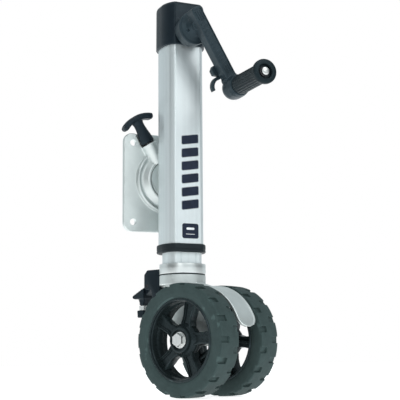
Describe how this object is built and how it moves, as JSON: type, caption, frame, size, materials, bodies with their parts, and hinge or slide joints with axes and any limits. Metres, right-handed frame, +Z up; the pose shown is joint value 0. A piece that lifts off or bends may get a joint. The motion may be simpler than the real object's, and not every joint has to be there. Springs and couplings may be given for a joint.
{
  "type": "trailer tongue jack",
  "caption": "Side-crank swing-up tongue jack on a bolt-on bracket with a twin-wheel swivel caster that raises and moves a trailer tongue.",
  "frame": {"origin": "on the swing pivot's axis, at the back face of the mounting plate", "axes": "+Y into the trailer frame, +Z up the jack, +X across it; the crank and the flat front face -Y"},
  "size_m": [0.2361, 0.3352, 0.748],
  "materials": {
    "cast_aluminium": "fine cast, lightly tumbled",
    "tube_aluminium": "satin anodised extrusion",
    "machined_aluminium": "turned, satin",
    "black_plastic": "moulded glass-filled nylon, semi-matt",
    "crank_plastic": "moulded glass-filled nylon, satin",
    "ring_plastic": "moulded, matt",
    "grip_rubber": "ribbed, satin",
    "rim_plastic": "moulded nylon, satin",
    "tyre_rubber": "matt rubber",
    "steel": "zinc plated",
    "gear_steel": "sintered, oiled",
    "dark_steel": "black oxide",
    "bronze": "sintered bronze",
    "decal_film": "printed film",
    "decal_outline": "light border printed round the film's dark shapes",
    "decal_white": "white print on the film"
  },
  "bodies": {
    "bracket": {"mount_plate": "cast_aluminium", "pivot_bush": "bronze", "guide_plug": "dark_steel", "pin_spring": "steel"},
    "pull_pin": {"lock_pin": "steel", "pin_handle": "black_plastic"},
    "jack_tube": {"outer_tube": "tube_aluminium", "pivot_disc": "cast_aluminium", "pivot_bolt": "dark_steel", "retainer_plate": "steel", "saddle_bolts": "dark_steel", "top_cap": "black_plastic", "cap_screws": "dark_steel", "bottom_ring": "ring_plastic", "bearing_plate": "steel", "thrust_bearing": "steel", "crank_bush": "bronze", "stripe_decal": "decal_film", "badge": "decal_film"},
    "crank": {"crank_shaft": "steel", "drive_pinion": "gear_steel", "crank_arm": "crank_plastic", "hub_pin": "steel", "stow_clip": "crank_plastic", "grip_bolt": "steel", "grip_washer": "dark_steel"},
    "grip": {"crank_grip": "grip_rubber"},
    "screw": {"lead_screw": "steel", "screw_gear": "gear_steel"},
    "leg": {"inner_tube": "tube_aluminium", "lift_nut": "bronze", "leg_collar": "machined_aluminium", "king_pin": "steel", "king_nut": "steel"},
    "caster": {"yoke": "cast_aluminium", "swivel_washer": "bronze", "swivel_seal": "ring_plastic", "axle_bolt": "steel", "axle_nut": "steel", "axle_spacers": "dark_steel", "axle_washers": "steel", "lock_housing": "black_plastic", "housing_screws": "dark_steel", "pedal_pin": "dark_steel"},
    "shoe": {"brake_shoe": "steel"},
    "pedal": {"foot_pedal": "black_plastic", "pedal_strap": "steel", "toe_pad": "black_plastic"},
    "wheel_left": {"rim_left": "rim_plastic", "tyre_left": "tyre_rubber", "bushes_left": "bronze"},
    "wheel_right": {"rim_right": "rim_plastic", "tyre_right": "tyre_rubber", "bushes_right": "bronze"}
  },
  "joints": [
    {"name": "swing_up", "type": "hinge", "parent": "bracket", "child": "jack_tube", "pos_m": [0, 0, 0], "axis": [0, 1, 0], "range_deg": [0, 90]},
    {"name": "pin_pull", "type": "slide", "parent": "bracket", "child": "pull_pin", "axis": [-0.5, 0, 0.866], "range_m": [0, 0.008], "stiffness_N_per_m": 900, "springref_m": -0.012, "deforming": ["pin_spring"]},
    {"name": "crank_turn", "type": "hinge", "parent": "jack_tube", "child": "crank", "pos_m": [0, -0.084, 0.272], "axis": [0, -1, 0], "range_deg": [0, 18288]},
    {"name": "grip_spin", "type": "hinge", "parent": "crank", "child": "grip", "pos_m": [0.0675, -0.253, 0.15509], "axis": [0, -1, 0], "continuous": true},
    {"name": "screw_turn", "type": "hinge", "parent": "jack_tube", "child": "screw", "pos_m": [0, -0.084, 0.066], "axis": [0, 0, 1], "range_deg": [0, 9145]},
    {"name": "leg_lift", "type": "slide", "parent": "jack_tube", "child": "leg", "axis": [0, 0, -1], "range_m": [0, 0.2541]},
    {"name": "caster_swivel", "type": "hinge", "parent": "leg", "child": "caster", "pos_m": [0, -0.084, -0.19], "axis": [0, 0, 1], "continuous": true},
    {"name": "pedal_tilt", "type": "hinge", "parent": "caster", "child": "pedal", "pos_m": [-0.03176, -0.01495, -0.208], "axis": [0.9085, 0.4179, 0], "range_deg": [0, 15]},
    {"name": "shoe_slide", "type": "slide", "parent": "caster", "child": "shoe", "axis": [0.4179, -0.9085, 0], "range_m": [0, 0.0061]},
    {"name": "wheel_left_roll", "type": "hinge", "parent": "caster", "child": "wheel_left", "pos_m": [-0.02483, -0.16234, -0.3124], "axis": [0.9085, 0.4179, 0], "continuous": true},
    {"name": "wheel_right_roll", "type": "hinge", "parent": "caster", "child": "wheel_right", "pos_m": [0.07565, -0.11613, -0.3124], "axis": [0.9085, 0.4179, 0], "continuous": true}
  ],
  "couplings": [
    {"joint": "screw_turn", "follows": "crank_turn", "ratio": 0.5},
    {"joint": "leg_lift", "follows": "crank_turn", "m_per_rad": 0.00079577},
    {"joint": "shoe_slide", "follows": "pedal_tilt", "m_per_rad": 0.022918}
  ]
}
